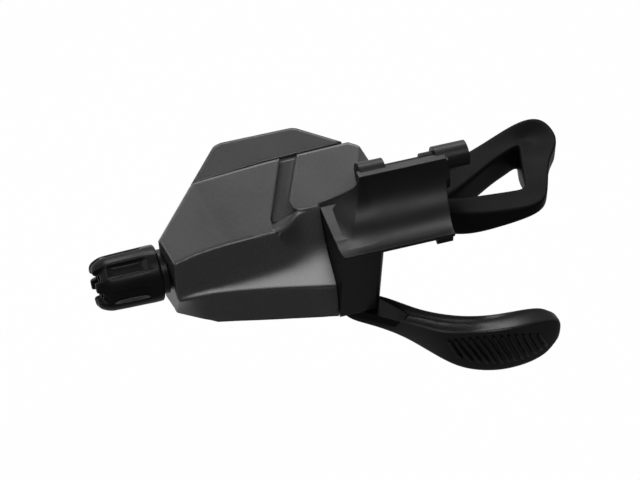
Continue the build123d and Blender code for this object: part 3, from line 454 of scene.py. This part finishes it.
# the window's wall is deeper on the far side, beyond this place forward
DEEP_FROM_Y = 12.0
DEEP_LEVEL = -23.0
LIP_SCOOP = 0.2
LOOP_CREASES = {0: 0.5, 1: 0.6, 3: 0.6, 4: 0.5}
under = []
brim = []
crown = []
lip = []
below = []
for outer_x, outer_y, inner_x, inner_y, bottom, scoop in LOOP + LOOP[:1]:
    under.append((outer_x, outer_y, bottom))
    brim.append((outer_x, outer_y, LOOP_TOP))
    crown.append(((outer_x + inner_x) / 2, (outer_y + inner_y) / 2, LOOP_TOP - scoop))
    lip.append((inner_x, inner_y, LOOP_TOP - LIP_SCOOP * scoop))
    below.append((inner_x, inner_y, DEEP_LEVEL if inner_y > DEEP_FROM_Y else bottom))
verts, faces, creases = sheet((under, brim, crown, lip, below), LOOP_CREASES, closed=True)
verts, faces, creases = wrapped(verts, faces, creases, len(under))
trigger = piece("trigger_loop", verts, faces, lever, "release_lever", 3, creases)
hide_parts("release_trigger")

# Root of the release lever, from the loop down to its plate: the corners in plan, and the levels
TRIGGER_ROOT = ((9.2, 10.8), (16.8, 10.8), (18.6, 18.4), (9.2, 18.4))
ROOT_LEVELS = (-21.0, -24.0, -28.4)
ROOT_RIM_CREASE = 0.8
ROOT_SIDE_CREASE = 0.7
corners = len(TRIGGER_ROOT)
rows = [[(x, y, level) for x, y in TRIGGER_ROOT + TRIGGER_ROOT[:1]] for level in ROOT_LEVELS]
verts, faces, creases = sheet(rows, {0: ROOT_RIM_CREASE, 2: ROOT_RIM_CREASE})
verts, faces, creases = wrapped(verts, faces, creases, corners + 1)
faces.append(tuple(reversed(range(corners))))
faces.append(tuple(range(2 * corners, 3 * corners)))
for row in range(len(rows) - 1):
    for corner in range(corners):
        creases[(row * corners + corner, (row + 1) * corners + corner)] = ROOT_SIDE_CREASE
piece("trigger_root", verts, faces, lever, "release_lever", 2, creases)

# Thumb paddle: lines from its root to its tip, taken round the section from the keel up the thumb's face,
# over the ridge and the valley to the wall behind it, and down the front
KEEL = (
    (-12.4, 1.0, -37.8), (-6.5, -2.6, -38.4), (-1.7, -6.6, -38.6), (1.6, -11.0, -38.2), (6.1, -17.9, -38.4),
    (10.4, -22.2, -39.6), (16.0, -25.0, -39.7), (21.8, -26.0, -39.9), (29.5, -25.5, -39.5),
    (34.9, -23.4, -37.6),
)
RIDGE = (
    (-12.3, 1.6, -36.0), (-6.1, -1.9, -35.7), (-1.7, -6.15, -34.3), (2.5, -12.0, -31.5), (6.1, -16.9, -29.9),
    (9.6, -20.0, -28.3), (15.4, -22.8, -26.9), (22.6, -24.1, -26.8), (29.6, -23.0, -28.3),
    (35.3, -21.9, -29.6),
)
VALLEY = (
    (-9.0, 2.6, -36.4), (-4.6, 0.4, -37.0), (-0.6, -2.6, -36.2), (4.2, -8.2, -33.6), (7.6, -12.3, -31.8),
    (11.2, -16.0, -29.9), (16.6, -19.4, -27.4), (23.2, -20.2, -27.0), (29.6, -19.5, -27.7),
    (34.6, -19.8, -29.0),
)
BACK_TOP = (
    (-8.6, 3.6, -33.2), (-4.2, 2.6, -33.0), (-0.4, -0.9, -32.4), (4.4, -7.1, -31.4), (8.0, -11.4, -29.6),
    (11.8, -15.1, -27.8), (17.0, -18.4, -26.2), (23.4, -19.0, -26.3), (29.7, -18.5, -27.3),
    (34.6, -19.0, -28.8),
)
FRONT = (
    (-8.2, 4.2, -37.6), (-3.6, 3.2, -38.0), (0.6, -0.4, -38.0), (5.2, -6.6, -37.4), (9.0, -11.2, -37.2),
    (13.0, -15.4, -37.8), (18.5, -18.9, -37.8), (24.5, -19.8, -37.2), (30.0, -19.4, -36.6),
    (34.8, -19.4, -35.2),
)
PADDLE_TIP = (36.8, -21.2, -33.0)
PADDLE_CREASES = {0: 0.35, 3: 0.7, 5: 0.5}
FACE_SWELL = 0.5
UPPER_SHARE = 0.3
LOWER_SHARE = 0.72


def thumb_face(place, share):
    """Point of the thumb's face, a share of the way from the ridge down to the keel."""
    swell = Vector((0.0, -4.0 * FACE_SWELL * share * (1.0 - share), 0.0))
    return place[0].lerp(place[1], share) + swell


stations = list(zip([Vector(point) for point in RIDGE], [Vector(point) for point in KEEL]))
upper_face = [thumb_face(place, UPPER_SHARE) for place in stations]
lower_face = [thumb_face(place, LOWER_SHARE) for place in stations]
rows = (KEEL, lower_face, upper_face, RIDGE, VALLEY, BACK_TOP, FRONT)
verts, faces, creases = sheet(rows, PADDLE_CREASES, closed=True)
width = len(KEEL)
verts.append(PADDLE_TIP)
for row in range(len(rows)):
    after = (row + 1) % len(rows)
    faces.append((row * width + width - 1, after * width + width - 1, len(verts) - 1))
faces.append(tuple(row * width for row in reversed(range(len(rows)))))
paddle = piece("paddle_form", verts, faces, paddle_black, "thumb_lever", 3, creases)
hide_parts("thumb_paddle")

# Ribs of the thumb's pad: slanted bars that together fill a leaf shape on the thumb's face.
# The section of a rib is the place across it and the rise from the face.
RIBS = 13
RIB_STEP = 1.75
RIB_LEAN = 0.5
RIB_SECTION = ((-0.55, -0.25), (-0.48, 0.42), (0.0, 0.62), (0.48, 0.42), (0.55, -0.25))
RIB_STATIONS = 9
RIB_SINK = 0.05
LEAF_MIDDLE = 19.8
LEAF_HALF = 12.6
LEAF_HEIGHT = 4.3
LEAF_LEVEL = 0.45
TRACKS = 240
TRACK_STEP = 3
tracks = list(zip(curve_through(RIDGE, TRACKS), curve_through(KEEL, TRACKS)))


def nearest_track(x):
    """Number of the track from ridge to keel whose middle is nearest to a place along the paddle."""
    return min(range(TRACKS), key=lambda number: abs(tracks[number][0].lerp(tracks[number][1], 0.5).x - x))


verts = []
faces = []
size = len(RIB_SECTION)
for rib in range(RIBS):
    middle_x = LEAF_MIDDLE + (rib - (RIBS - 1) / 2) * RIB_STEP
    half = LEAF_HEIGHT * (1.0 - ((middle_x - LEAF_MIDDLE) / LEAF_HALF) ** 2) ** 0.5
    first = len(verts)
    for step in range(RIB_STATIONS):
        along = 2.0 * step / (RIB_STATIONS - 1) - 1.0
        height = -half * along
        number = nearest_track(middle_x - height * RIB_LEAN)
        track = tracks[number]
        next_track = tracks[min(number + TRACK_STEP, TRACKS - 1)]
        last_track = tracks[number - TRACK_STEP]
        share = LEAF_LEVEL - height / (track[0] - track[1]).length
        centre = thumb_face(track, share)
        across = (thumb_face(next_track, share) - thumb_face(last_track, share)).normalized()
        down = (thumb_face(track, share + 0.02) - thumb_face(track, share - 0.02)).normalized()
        out = across.cross(down).normalized()
        if out.y > 0:
            out.negate()
        taper = max(0.25, 1.0 - abs(along) ** 6)
        for side, rise in RIB_SECTION:
            verts.append(centre + across * side * (0.6 + 0.4 * taper) + out * (rise * taper - RIB_SINK))
    last = first + (RIB_STATIONS - 1) * size
    for start in range(first, last, size):
        for k in range(size - 1):
            a = start + k
            faces.append((a, a + 1, a + size + 1, a + size))
    faces.append(tuple(range(first, first + size)))
    faces.append(tuple(reversed(range(last, last + size))))
piece("paddle_ribs", verts, faces, paddle_black, "thumb_lever", 1)

# Studio: a white surround, a pale floor and soft lamps. Camera rays see plain white. Glossy rays see the
# surround and the floor as a white backdrop on the far side, dimmer overhead and on the near side.
NEAR_LEVEL = 0.2
FAR_LEVEL = 1.0
OVERHEAD_SHARE = 0.5
SOFT_LEVEL = 0.30
FLOOR_GLOW = 0.96
FLOOR_REACH = 6.0
FLOOR_Z = -0.30


def rays(shader):
    """Share of rays that see plain white, and of glossy rays."""
    path = shader.add("ShaderNodeLightPath")
    plain = shader.math("MAXIMUM", path.outputs["Is Camera Ray"], path.outputs["Is Transmission Ray"])
    return plain, path.outputs["Is Glossy Ray"]


world = bpy.data.worlds.new("surround")
world.use_nodes = True
world.node_tree.nodes.clear()
w = Shader(world.node_tree)
plain_ray, glossy_ray = rays(w)
towards = w.add("ShaderNodeSeparateXYZ", {0: w.add("ShaderNodeTexCoord").outputs["Generated"]})
sideways = w.span(towards.outputs[1], -0.25, 0.35, NEAR_LEVEL, FAR_LEVEL)
overhead = w.span(towards.outputs[2], 0.1, 0.5, 1.0, OVERHEAD_SHARE)
strength = w.math("MAXIMUM", plain_ray, w.math("MULTIPLY", sideways, overhead))
soft = w.add("ShaderNodeBackground", {"Color": WHITE, "Strength": SOFT_LEVEL})
backdrop = w.add("ShaderNodeBackground", {"Color": WHITE, "Strength": strength})
seen = w.math("MAXIMUM", plain_ray, glossy_ray)
both = w.add("ShaderNodeMixShader", {0: seen, 1: soft.outputs[0], 2: backdrop.outputs[0]})
w.links.new(both.outputs[0], w.add("ShaderNodeOutputWorld").inputs["Surface"])
scene.world = world

floor_mesh = bpy.data.meshes.new("floor")
floor_corners = [(-FLOOR_REACH, -FLOOR_REACH, FLOOR_Z), (FLOOR_REACH, -FLOOR_REACH, FLOOR_Z),
                 (FLOOR_REACH, FLOOR_REACH, FLOOR_Z), (-FLOOR_REACH, FLOOR_REACH, FLOOR_Z)]
floor_mesh.from_pydata(floor_corners, [], [(0, 1, 2, 3)])
floor = bpy.data.objects.new("floor", floor_mesh)
scene.collection.objects.link(floor)
floor_material, f = new_material("pale_floor")
where = f.place()
pale = f.tint(f.noise(where, 3.0, 4.0), (0.80, 0.80, 0.80), (0.84, 0.84, 0.84))
matte = f.add("ShaderNodeBsdfDiffuse", {"Color": pale})
plain_ray, glossy_ray = rays(f)
forward = f.add("ShaderNodeSeparateXYZ", {0: where}).outputs[1]
strength = f.math("MAXIMUM", plain_ray, f.span(forward, -0.1, 0.5, NEAR_LEVEL, FAR_LEVEL))
glow = f.add("ShaderNodeEmission", {"Color": WHITE, "Strength": strength})
seen = f.math("MAXIMUM", f.math("MULTIPLY", plain_ray, FLOOR_GLOW), glossy_ray)
close(f, f.add("ShaderNodeMixShader", {0: seen, 1: matte.outputs[0], 2: glow.outputs[0]}).outputs[0])
floor_mesh.materials.append(floor_material)

LAMPS_AIM = Vector((-0.01, 0.01, -0.02))


def lamp(name, place, size, power):
    """Soft box that faces the object."""
    data = bpy.data.lights.new(name, "AREA")
    data.shape = "RECTANGLE"
    data.size = size[0]
    data.size_y = size[1]
    data.energy = power
    light = bpy.data.objects.new(name, data)
    light.location = place
    light.rotation_euler = (LAMPS_AIM - Vector(place)).to_track_quat("-Z", "Y").to_euler()
    scene.collection.objects.link(light)


lamp("top_box", (0.035, -0.26, 0.58), (0.30, 0.22), 2.2)
lamp("far_box", (0.19, 0.67, 0.56), (0.70, 0.26), 5.5)
lamp("left_box", (-0.50, 0.10, 0.45), (0.30, 0.40), 1.2)
